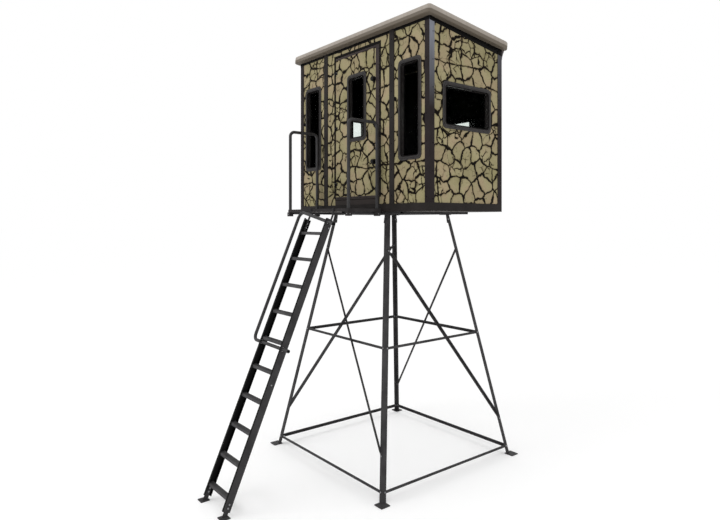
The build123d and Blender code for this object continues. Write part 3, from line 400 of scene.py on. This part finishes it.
# The corner posts carry a painted sheen: a bluish-grey painted reflection near the top of their end
# flanges.
CORNER_TRIM = satin_trim("corner_trim", (26, 20, 20), (38, 32, 33), 0.4, 0.07, painted_sheen=True)
SILL_TRIM = satin_trim("sill_trim", (38, 33, 31), (52, 46, 44))
DOOR_TRIM = satin_trim("door_trim_paint", (36, 29, 28), (58, 50, 49), 0.42, 0.1)
PANEL = cracked_panel()
ROOF = roof_skin()
RUBBER = seal_rubber("seal_rubber", (32, 29, 29), (50, 47, 46), 0.2)
BLACK_RUBBER = seal_rubber("black_rubber", (6, 4, 4), (12, 9, 8), 0.04)
GLASS = window_glass()
PORCH_BOARD = stained_board("porch_board", (30, 25, 21), (50, 42, 35))
FLOOR_BOARD = stained_board("floor_board", (30, 25, 20), (48, 40, 32))
CEILING = moulded_plastic("ceiling_board", (20, 19, 18), (30, 28, 26))
ZINC = bare_metal("zinc", (120, 120, 122), (168, 168, 170), 0.42)

node_materials = {
    TOWER_PAINT: (
        "leg_front_left", "leg_front_right", "leg_back_left", "leg_back_right", "foot_plates",
        "base_ring", "mid_ring", "braces", "leg_cleats", "deck_frame", "porch_beams",
    ),
    LADDER_PAINT: ("ladder_feet", "ladder_hooks"),
    CHANNEL_SHADED_PAINT: ("ladder_rail_left", "ladder_rail_right"),
    TREAD_LIT_PAINT: ("ladder_rungs",),
    RAIL_PAINT: ("grab_rail_left", "grab_rail_right", "ladder_handrail"),
    PORCH_PAINT: ("porch_frame", "rail_sockets"),
    TRIM: ("base_sill", "wall_battens"),
    CORNER_TRIM: ("corner_posts",),
    SILL_TRIM: ("door_sill",),
    DOOR_TRIM: ("door_trim",),
    BLACK_PAINT: ("window_hinges", "door_window_hinges", "door_hinges", "door_hardware"),
    RUBBER: ("window_gaskets", "door_window_gasket"),
    ROOF: ("roof_cap",),
    CEILING: ("ceiling_panel",),
    FLOOR_BOARD: ("floor_panel",),
    PORCH_BOARD: ("porch_planks",),
    ZINC: ("tower_bolts", "ladder_bolts"),
    KNOB_PAINT: ("door_knob_lower", "door_knob_upper"),
    PANEL: (
        "front_panel_left", "front_panel_right", "side_panel_left", "side_panel_right",
        "back_panel", "door_surround", "door_leaf",
    ),
}


def paint(node, material):
    """Puts one material on a carried-over CAD node."""
    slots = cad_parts[node].data.materials
    slots.clear()
    slots.append(material)


for material, nodes in node_materials.items():
    for node in nodes:
        paint(node, material)
for window in WINDOWS:
    paint("pane_" + window, GLASS)
    paint("sash_" + window, BLACK_PAINT)


# ---- tools for the detail pieces ----
def place_piece(name, data, material, body):
    """Makes an object of a mesh or curve in the row frame, and lets it ride on a body."""
    data.materials.append(material)
    made = bpy.data.objects.new(name, data)
    bpy.context.scene.collection.objects.link(made)
    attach(made, body)


def mesh_piece(name, bm, material, body, sharp_angle=40.0):
    """A piece of a bmesh, smooth except over edges sharper than sharp_angle."""
    mesh = bpy.data.meshes.new(name)
    bmesh.ops.recalc_face_normals(bm, faces=bm.faces)
    bm.to_mesh(mesh)
    bm.free()
    mesh.shade_smooth()
    mesh.set_sharp_from_angle(angle=math.radians(sharp_angle))
    place_piece(name, mesh, material, body)


def bead_piece(name, loops, radius, material, body):
    """A round bead along each closed loop of points."""
    curve = bpy.data.curves.new(name, "CURVE")
    curve.dimensions = "3D"
    curve.bevel_depth = radius
    curve.bevel_resolution = 2
    for points in loops:
        spline = curve.splines.new("POLY")
        spline.points.add(len(points) - 1)
        for target, point in zip(spline.points, points):
            target.co = (*point, 1.0)
        spline.use_cyclic_u = True
        spline.use_smooth = True
    place_piece(name, curve, material, body)


def facing(place, normal, spin):
    """Matrix that stands local Z on a surface, turned about it by spin."""
    turn = Vector(normal).to_track_quat("Z", "Y").to_matrix().to_4x4()
    return Matrix.Translation(place) @ turn @ Matrix.Rotation(spin, 4, "Z")


def add_lathe(bm, matrix, profile, steps):
    """Turned shape: profile is a list of (radius, height), with radius 0 at both ends."""
    rings = []
    for radius, height in profile:
        ring = []
        for i in range(steps if radius else 1):
            angle = 2 * math.pi * i / steps
            point = Vector((radius * math.cos(angle), radius * math.sin(angle), height))
            ring.append(bm.verts.new(matrix @ point))
        rings.append(ring)
    for low, high in zip(rings, rings[1:]):
        for i in range(steps):
            j = (i + 1) % steps
            if len(high) == 1:
                bm.faces.new((low[i], low[j], high[0]))
            elif len(low) == 1:
                bm.faces.new((low[0], high[j], high[i]))
            else:
                bm.faces.new((low[i], low[j], high[j], high[i]))


SCREW_STEPS, SCREW_SINK = 12, 0.001  # points round a screw's head, and how deep its underside is sunk


def screw_profile(radius):
    """Pan head with a round drive recess and a closed underside."""
    height = radius * 0.55
    recess = radius * 0.42
    return [
        (0, -SCREW_SINK),
        (radius, -SCREW_SINK),
        (radius, height * 0.35),
        (radius * 0.9, height * 0.72),
        (radius * 0.68, height),
        (recess, height),
        (recess * 0.85, height * 0.35),
        (0, height * 0.35),
    ]


def screws(name, places, radius, body, material):
    """One piece of many pan-head screws; places are (point, outward normal)."""
    bm = bmesh.new()
    profile = screw_profile(radius)
    for point, normal in places:
        add_lathe(bm, facing(point, normal, random.uniform(0, 3)), profile, SCREW_STEPS)
    mesh_piece(name, bm, material, body)


def add_plate(bm, corners, thickness):
    """Flat plate: an outline of points, thickened along a vector."""
    low = [bm.verts.new(Vector(corner)) for corner in corners]
    high = [bm.verts.new(Vector(corner) + thickness) for corner in corners]
    bm.faces.new(low)
    bm.faces.new(list(reversed(high)))
    join_rings(bm, low, high)


def join_rings(bm, low, high):
    """Faces between two rings of as many points."""
    for i in range(len(low)):
        j = (i + 1) % len(low)
        bm.faces.new((low[i], low[j], high[j], high[i]))


def soften(bm, width, segments=2):
    """Rounds every sharp edge made so far."""
    bmesh.ops.recalc_face_normals(bm, faces=bm.faces)
    sharp = [edge for edge in bm.edges if edge.is_manifold and edge.calc_face_angle(0.0) > 0.5]
    bmesh.ops.bevel(bm, geom=sharp, offset=width, segments=segments, affect="EDGES", profile=0.5)


def rounded_loop(centre, right, up, width, height, radius, steps=7):
    """Points round a rectangle with rounded corners."""
    points = []
    for quarter, (side_x, side_y) in enumerate(((1, 1), (-1, 1), (-1, -1), (1, -1))):
        corner = Vector((side_x * (width / 2 - radius), side_y * (height / 2 - radius)))
        for step in range(steps + 1):
            angle = math.radians(90 * quarter + 90 * step / steps)
            across = corner.x + radius * math.cos(angle)
            rise = corner.y + radius * math.sin(angle)
            points.append(centre + right * across + up * rise)
    return points


# ---- windows: a locking bead in each rubber surround, and a lip round its inner edge ----
GASKET_PROUD, GASKET_W = 0.008, 0.050
PANE_SHY = 0.0082  # how far the pane's edge stands inside the clear opening's
BEAD_R = 0.0055
LIP_GROW = 0.008  # how much wider than the opening the lip's loop is
BEAD_CORNER_R, LIP_CORNER_R = 0.042, 0.030


def window_face(window):
    """Centre on the wall's skin, direction to the right, outward normal, clear width and height."""
    low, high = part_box("pane_" + window)
    size = high - low
    centre = (low + high) / 2
    if size.y < size.x:
        side = -1 if centre.y < CABIN_MID.y else 1
        normal = Vector((0, side, 0))
        centre.y = SKIN_LOW.y if side < 0 else SKIN_HIGH.y
        width = size.x
    else:
        side = -1 if centre.x < CABIN_MID.x else 1
        normal = Vector((side, 0, 0))
        centre.x = SKIN_LOW.x if side < 0 else SKIN_HIGH.x
        width = size.y
    return centre, UP.cross(normal), normal, width + 2 * PANE_SHY, size.z + 2 * PANE_SHY


def add_window_beads(name, windows, body):
    """The beads and the lips of some windows, as one piece each."""
    beads = []
    lips = []
    for window in windows:
        centre, right, normal, width, height = window_face(window)
        face = centre + normal * GASKET_PROUD
        beads.append(rounded_loop(face, right, UP, width + GASKET_W, height + GASKET_W, BEAD_CORNER_R))
        lips.append(rounded_loop(face, right, UP, width + LIP_GROW, height + LIP_GROW, LIP_CORNER_R))
    bead_piece(name + "_bead", beads, BEAD_R, RUBBER, body)
    bead_piece(name + "_lip", lips, BEAD_R, BLACK_RUBBER, body)


# ---- screws in the cabin's trim and the door ----
SCREW_ROWS = 7
SCREW_LOW, SCREW_HIGH = WALL_Z + 0.06, FRONT_TOP - 0.14
BACK_SCREW_TOP = roof_z(posts_high.y) - 0.13  # clear of the cove moulding
POST_SCREW_IN = 0.050
SIDE_SCREW_DROP = 0.02  # the end walls' rows stand this much lower than the front's
BATTEN_SCREW_RISE = 0.03  # and the cover strips' rows this much higher
BATTEN_HALF = 0.0425
TRIM_SCREW_R = 0.0055


def add_trim_screws():
    """Pan-head screws up the corner posts and the cover strips."""
    rows = [SCREW_LOW + (SCREW_HIGH - SCREW_LOW) * row / (SCREW_ROWS - 1) for row in range(SCREW_ROWS)]
    places = []
    for z in rows:
        for side, edge_x in ((-1, posts_low.x), (1, posts_high.x)):
            post_x = CABIN_MID.x + side * (CABIN_HALF.x - POST_SCREW_IN)
            places.append((Vector((post_x, posts_low.y, z)), (0, -1, 0)))
            for post_y in (posts_low.y + POST_SCREW_IN, posts_high.y - POST_SCREW_IN):
                places.append((Vector((edge_x, post_y, z - SIDE_SCREW_DROP)), (side, 0, 0)))
            if z < BACK_SCREW_TOP:
                places.append((Vector((post_x, posts_high.y, z)), (0, 1, 0)))
    batten_low, batten_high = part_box("wall_battens")
    for z in rows:
        for batten_x in (batten_low.x + BATTEN_HALF, batten_high.x - BATTEN_HALF):
            places.append((Vector((batten_x, batten_low.y, z + BATTEN_SCREW_RISE)), (0, -1, 0)))
        if z < BACK_SCREW_TOP:
            places.append((Vector((CABIN_MID.x, batten_high.y, z)), (0, 1, 0)))
    screws("trim_screws", places, TRIM_SCREW_R, "tower", BLACK_PAINT)


DOOR_SCREWS, DOOR_SCREW_PITCH, DOOR_SCREW_R = 10, 0.186, 0.0045
DOOR_SCREW_IN, DOOR_SCREW_UP = 0.014, 0.05  # from the stile's edge, and the lowest from its foot
HINGE_HEIGHTS = (0.360, 1.065, 1.770)  # above the deck
HINGE_LEAF_T, HINGE_GAP, HINGE_SCREW_R = 0.0025, 0.002, 0.004
LEAF_SCREWS = ((0.015, 0.010), (0.026, -0.010))  # across and up from the hinge's middle


def add_door_screws():
    """Screws up the door's stile, and in the fixed and the moving leaves of its hinges."""
    trim_low, trim_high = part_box("door_trim")
    places = []
    for i in range(DOOR_SCREWS):
        z = trim_low.z + DOOR_SCREW_UP + DOOR_SCREW_PITCH * i
        places.append((Vector((trim_high.x - DOOR_SCREW_IN, trim_low.y, z)), (0, -1, 0)))
    screws("door_trim_screws", places, DOOR_SCREW_R, "door", BLACK_PAINT)
    axis_x = leaf_low.x - HINGE_GAP
    leaf_y = SKIN_LOW.y - HINGE_LEAF_T
    fixed = []
    moving = []
    for hinge_z in HINGE_HEIGHTS:
        for across, rise in LEAF_SCREWS:
            z = DECK_Z + hinge_z + rise
            fixed.append((Vector((axis_x - across - HINGE_GAP, leaf_y, z)), (0, -1, 0)))
            moving.append((Vector((axis_x + across, leaf_y, z)), (0, -1, 0)))
    screws("hinge_screws_fixed", fixed, HINGE_SCREW_R, "tower", ZINC)
    screws("hinge_screws_moving", moving, HINGE_SCREW_R, "door", ZINC)


# ---- sealing strips, and black strips of painted shadow under the eaves ----
EAVE_H, EAVE_T, EAVE_ROUND = 0.032, 0.0045, 0.0012
EAVE_GAP = 0.001  # between the strips and the roof plane
EAVE_INSET = 0.068  # where the strips on the skins end, beside the corner posts
WEDGE_FRONT, WEDGE_BACK = 0.048, 0.075  # the side strips' depth at the front and at the back
POST_EAVE_T = 0.003
POST_EAVE_DROP = 0.006  # how much deeper the front strip is on the corner posts


def add_eave_shadow_strips():
    """Black strips of painted shadow under the eaves: level on the front, deepening to the back on the
    side walls.
    """
    eaves = bmesh.new()
    top = FRONT_TOP - EAVE_GAP
    post_drop = EAVE_H + POST_EAVE_DROP
    front_runs = (
        (SKIN_LOW.x + EAVE_INSET, SKIN_HIGH.x - EAVE_INSET, SKIN_LOW.y, EAVE_H, EAVE_T),
        (posts_low.x, posts_low.x + POST_W, posts_low.y, post_drop, POST_EAVE_T),
        (posts_high.x - POST_W, posts_high.x, posts_low.y, post_drop, POST_EAVE_T),
    )
    for x0, x1, y, drop, thickness in front_runs:
        corners = [(x0, y, top), (x1, y, top), (x1, y, top - drop), (x0, y, top - drop)]
        add_plate(eaves, corners, Vector((0, -thickness, 0)))
    for side, skin_x, post_x in ((-1, SKIN_LOW.x, posts_low.x), (1, SKIN_HIGH.x, posts_high.x)):
        side_runs = (
            (skin_x, SKIN_LOW.y + EAVE_INSET, SKIN_HIGH.y - EAVE_INSET, WEDGE_FRONT, WEDGE_BACK, EAVE_T),
            (post_x, posts_low.y, posts_low.y + POST_W, WEDGE_FRONT, WEDGE_FRONT, POST_EAVE_T),
            (post_x, posts_high.y - POST_W, posts_high.y, WEDGE_BACK, WEDGE_BACK, POST_EAVE_T),
        )
        for x, y0, y1, drop0, drop1, thickness in side_runs:
            corners = [
                (x, y0, roof_z(y0) - EAVE_GAP),
                (x, y1, roof_z(y1) - EAVE_GAP),
                (x, y1, roof_z(y1) - drop1),
                (x, y0, roof_z(y0) - drop0),
            ]
            add_plate(eaves, corners, Vector((side * thickness, 0, 0)))
    soften(eaves, EAVE_ROUND)
    # The strips are black paint put where the eaves cast their shadow.
    mesh_piece("eave_shadow_strips", eaves, BLACK_PAINT, "tower")


COVE_W, COVE_H, COVE_LIP, COVE_STEPS = 0.040, 0.115, 0.004, 8
COVE_FOOT = 0.0005  # how far the cove's back stands off the posts
COVE_GAP = 0.002  # between the cove and the roof plane


def add_back_cove():
    """Hollow-faced cove moulding under the back overhang, from the roof's edge down to the wall."""
    cove = bmesh.new()
    top = roof_z(posts_high.y) - COVE_GAP
    outline = [(posts_high.x, posts_high.y + COVE_FOOT, top)]
    for step in range(COVE_STEPS + 1):
        share = step / COVE_STEPS
        out = COVE_W * (1 - share) ** 1.5 + COVE_LIP
        drop = COVE_H * share + ROOF_SLOPE * out
        outline.append((posts_high.x, posts_high.y + out, top - drop))
    outline.append((posts_high.x, posts_high.y + COVE_FOOT, top - COVE_H))
    add_plate(cove, outline, Vector((posts_low.x - posts_high.x, 0, 0)))
    mesh_piece("back_cove", cove, COVE_TRIM, "tower")


SEAL_T, SEAL_ROUND = 0.0022, 0.0008
SEAL_GAP = 0.004  # between the door's leaf and the seal
SEAL_HINGE, SEAL_TOP, SEAL_LATCH = 0.038, 0.036, 0.030  # how far it reaches from the leaf on each side


def add_door_seal():
    """Rubber seal round the door opening: beside the hinges, over the door and beside the knobs."""
    seal = bmesh.new()
    x0, x1 = leaf_low.x - SEAL_GAP, leaf_high.x + SEAL_GAP
    z0, z1 = leaf_low.z - SEAL_GAP, leaf_high.z + SEAL_TOP
    strips = (
        (leaf_low.x - SEAL_HINGE, x0, z0, z1),
        (x0, x1, leaf_high.z + SEAL_GAP, z1),
        (x1, leaf_high.x + SEAL_LATCH, z0, z1),
    )
    y = SKIN_LOW.y
    for left, right, low, high in strips:
        corners = [(left, y, low), (right, y, low), (right, y, high), (left, y, high)]
        add_plate(seal, corners, Vector((0, -SEAL_T, 0)))
    soften(seal, SEAL_ROUND, 1)
    mesh_piece("door_seal", seal, BLACK_RUBBER, "tower")


# ---- roof: moulded raised fields on top, and a bead round the lip above its lower band ----
ROOF_H = 0.100
FIELDS, FIELD_PITCH = 5, 0.49
FIELD_W, FIELD_L, FIELD_RISE = 0.37, 1.12, 0.007
FIELD_CORNER_R, FIELD_TOP_CORNER_R = 0.05, 0.042
FIELD_SINK = 0.0005  # how deep a field's foot is in the shell
FIELD_DRAFT = 0.016  # how much smaller a field's top is than its foot
LIP_BEAD_R, LIP_BEAD_RISE, ROOF_CORNER_R = 0.004, 0.003, 0.045


def add_roof_details():
    """Five raised fields on top of the shell, and the bead round its lip."""
    roof_low, roof_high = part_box("roof_cap")
    normal = Vector((0, ROOF_SLOPE, 1)).normalized()
    along = Vector((0, 1, -ROOF_SLOPE)).normalized()
    mid_y = (roof_low.y + roof_high.y) / 2 - ROOF_H * normal.y / 2
    foot = Vector((CABIN_MID.x, mid_y, roof_z(mid_y)))
    fields = bmesh.new()
    for i in range(FIELDS):
        middle = foot + normal * (ROOF_H - FIELD_SINK) + ACROSS * ((i - (FIELDS - 1) / 2) * FIELD_PITCH)
        top = middle + normal * FIELD_RISE
        low_loop = rounded_loop(middle, ACROSS, along, FIELD_W, FIELD_L, FIELD_CORNER_R)
        top_w, top_l = FIELD_W - FIELD_DRAFT, FIELD_L - FIELD_DRAFT
        high_loop = rounded_loop(top, ACROSS, along, top_w, top_l, FIELD_TOP_CORNER_R)
        low_ring = [fields.verts.new(point) for point in low_loop]
        high_ring = [fields.verts.new(point) for point in high_loop]
        fields.faces.new(high_ring)
        fields.faces.new(list(reversed(low_ring)))
        join_rings(fields, low_ring, high_ring)
    mesh_piece("roof_fields", fields, ROOF, "tower", 60.0)
    length = (roof_high.y - roof_low.y - ROOF_H * normal.y) / along.y
    bead_foot = foot + normal * (LIP_SHADE_BAND + LIP_BEAD_RISE)
    loop = rounded_loop(bead_foot, ACROSS, along, roof_high.x - roof_low.x, length, ROOF_CORNER_R)
    bead_piece("roof_lip_bead", [loop], LIP_BEAD_R, ROOF, "tower")


# ---- ladder: weld beads where each tread meets the rails, and a splice bolt on each rail ----
RUNGS, RUNG_D, RUNG_H, RIB = 10, 0.062, 0.032, 0.002
WELD_IN, WELD_GROW, WELD_R, WELD_CORNER_R = 0.001, 0.002, 0.003, 0.005
WELD_WANDER = 0.0006  # how far the bead strays from the tread's outline
SPLICE_Z, SPLICE_R = 1.220, 0.009  # where each rail's lengths join, and the bolt's head


def add_ladder_details():
    """Weld beads round both ends of every tread, and a splice bolt on each rail's outer face."""
    rung_low, rung_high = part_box("ladder_rungs")
    first = Vector((0, rung_low.y + RUNG_D / 2, rung_low.z + RUNG_H / 2))
    last = Vector((0, rung_high.y - RUNG_D / 2, rung_high.z - RIB - RUNG_H / 2))
    loops = []
    for i in range(RUNGS):
        rung = first.lerp(last, i / (RUNGS - 1))
        for x in (rung_low.x + WELD_IN, rung_high.x - WELD_IN):
            centre = Vector((x, rung.y, rung.z))
            depth, height = RUNG_D + WELD_GROW, RUNG_H + WELD_GROW
            loop = rounded_loop(centre, INWARD, UP, depth, height, WELD_CORNER_R, 3)
            loops.append([
                point + Vector((0, random.uniform(-1, 1), random.uniform(-1, 1))) * WELD_WANDER
                for point in loop
            ])
    bead_piece("rung_welds", loops, WELD_R, LADDER_PAINT, "tower")
    splice = first.lerp(last, (SPLICE_Z - first.z) / (last.z - first.z))
    places = []
    for x, side in ((LADDER_LEFT, -1), (LADDER_RIGHT, 1)):
        places.append((Vector((x, splice.y, SPLICE_Z)), (side, 0, 0)))
    screws("ladder_splice_bolts", places, SPLICE_R, "tower", ZINC)


# ---- porch: screws that hold the boards down, and set screws in the grab rails' sockets ----
PLANKS, PLANK_GAP = 3, 0.005
BOARD_SCREW_SHARES = (0.02, 0.34, 0.66, 0.98)  # of a board's length
BOARD_SCREW_OFFSETS = (-0.28, 0.28)  # of the boards' pitch, from a board's middle
BOARD_SCREW_R, SET_SCREW_R = 0.0055, 0.006
SOCKET_HALF = 0.0275


def add_porch_screws():
    """Pairs of screws across each porch board."""
    plank_low, plank_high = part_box("porch_planks")
    pitch = (plank_high.y - plank_low.y + PLANK_GAP) / PLANKS
    places = []
    for plank in range(PLANKS):
        middle_y = plank_low.y + pitch * (plank + 0.5) - PLANK_GAP / 2
        for share in BOARD_SCREW_SHARES:
            x = plank_low.x + (plank_high.x - plank_low.x) * share
            for offset in BOARD_SCREW_OFFSETS:
                places.append((Vector((x, middle_y + offset * pitch, plank_high.z)), (0, 0, 1)))
    screws("porch_board_screws", places, BOARD_SCREW_R, "tower", ZINC)


def add_socket_screws():
    """Set screws in the outer and the front faces of the grab rails' sockets."""
    low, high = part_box("rail_sockets")
    z = (low.z + high.z) / 2
    places = []
    for x, side in ((low.x, -1), (high.x, 1)):
        for y in (low.y + SOCKET_HALF, high.y - SOCKET_HALF):
            places.append((Vector((x, y, z)), (side, 0, 0)))
    for x in (low.x + SOCKET_HALF, high.x - SOCKET_HALF):
        places.append((Vector((x, low.y, z)), (0, -1, 0)))
    screws("socket_set_screws", places, SET_SCREW_R, "tower", ZINC)


add_window_beads("window", [window for window in WINDOWS if window != "door"], "tower")
add_window_beads("door_window", ["door"], "door")
add_trim_screws()
add_door_screws()
add_eave_shadow_strips()
add_back_cove()
add_door_seal()
add_roof_details()
add_ladder_details()
add_porch_screws()
add_socket_screws()


# ---- camera, light and floor ----
def add_camera():
    """Eye-level view, level with the deck: the tower's vertical lines stay vertical."""
    data = bpy.data.cameras.new("camera")
    data.sensor_width = 36.0
    data.lens = 29.0
    data.shift_y = -40 / 720
    data.clip_end = 500
    camera = bpy.data.objects.new("camera", data)
    camera.location = (5.632, -4.992, 2.958)
    camera.rotation_euler = (math.pi / 2, 0, math.radians(51.517))
    bpy.context.scene.collection.objects.link(camera)
    bpy.context.scene.camera = camera


def add_area(name, place, target, size, power):
    """Soft rectangular light that looks at a target."""
    data = bpy.data.lights.new(name, "AREA")
    data.shape = "RECTANGLE"
    data.size, data.size_y = size
    data.energy = power
    light = bpy.data.objects.new(name, data)
    light.location = place
    light.rotation_euler = (Vector(target) - Vector(place)).to_track_quat("-Z", "Y").to_euler()
    bpy.context.scene.collection.objects.link(light)


def add_floor():
    """Plain white floor, wide enough to have no edge in view."""
    bm = bmesh.new()
    bmesh.ops.create_circle(bm, cap_ends=True, radius=160, segments=96)
    mesh = bpy.data.meshes.new("floor")
    bm.to_mesh(mesh)
    bm.free()
    paper = Shader("studio_floor", 0.9, specular=0.0)
    paper.colour(srgb(255, 255, 255))
    mesh.materials.append(paper.material)
    floor = bpy.data.objects.new("floor", mesh)
    floor.location.z = -0.0005
    bpy.context.scene.collection.objects.link(floor)


def add_studio():
    """White surroundings, a key light from the front and a weaker one on the end wall."""
    world = bpy.data.worlds.new("studio")
    world.use_nodes = True
    background = world.node_tree.nodes["Background"]
    background.inputs["Color"].default_value = (1, 1, 1, 1)
    background.inputs["Strength"].default_value = 1.0
    bpy.context.scene.world = world
    bpy.context.scene.view_settings.view_transform = "Standard"
    add_area("key", (-2.5, -9.0, 9.0), (0, 0, 3), (6, 4), 230)
    add_area("side", (9.5, 1.0, 6.0), (1.2, 0, 4), (3, 6), 70)


add_camera()
add_floor()
add_studio()
